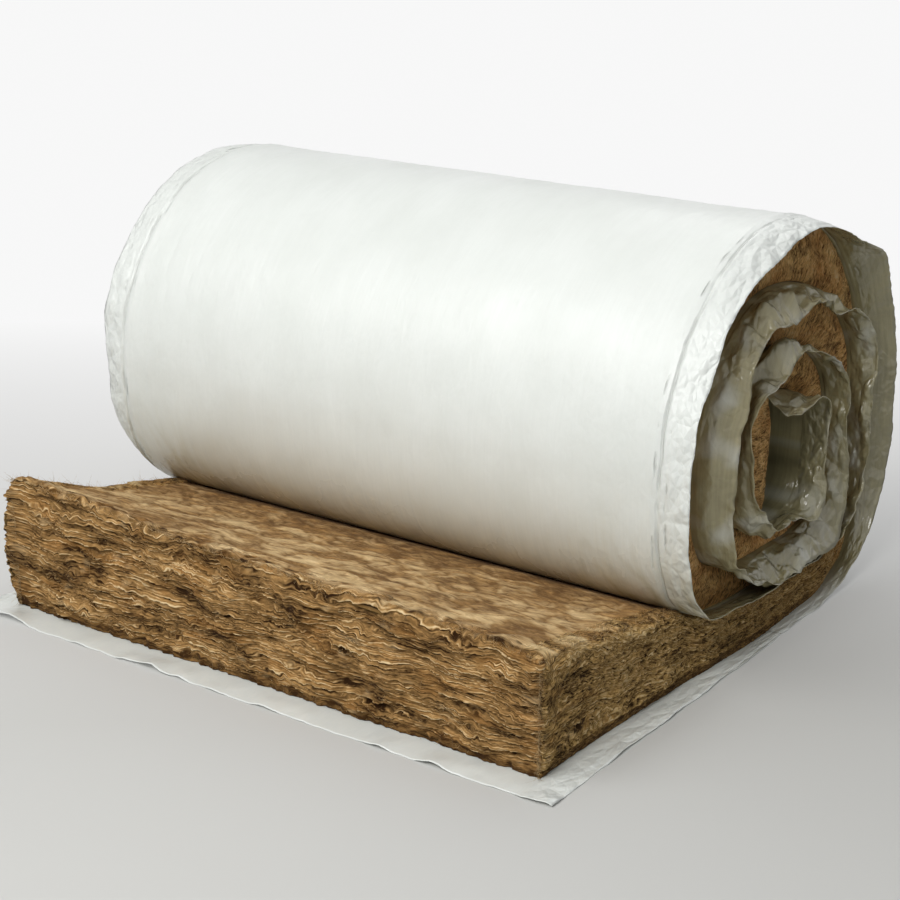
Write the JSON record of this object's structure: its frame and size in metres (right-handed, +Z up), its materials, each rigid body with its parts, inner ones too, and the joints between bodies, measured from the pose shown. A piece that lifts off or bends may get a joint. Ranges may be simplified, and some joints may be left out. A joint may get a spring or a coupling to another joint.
{
  "type": "insulation roll",
  "caption": "Partly unrolled roll of mineral-wool insulation faced with white plastic film: a spiral roll of film and wool lies back on its own flat free end.",
  "frame": {"origin": "on the floor, in the middle of the object's outline seen from above", "axes": "+X along the roll, +Y from the cut edge of the free end towards the roll, +Z up"},
  "size_m": [1.32, 1.2422, 0.78],
  "materials": {
    "wool": "tan-brown fibrous mineral wool in thin wavy layers",
    "film": "satin white plastic film with a faint green tint, finely creased"
  },
  "bodies": {
    "root": {"wool_blanket": "wool", "facing_film": "film"}
  },
  "joints": []
}
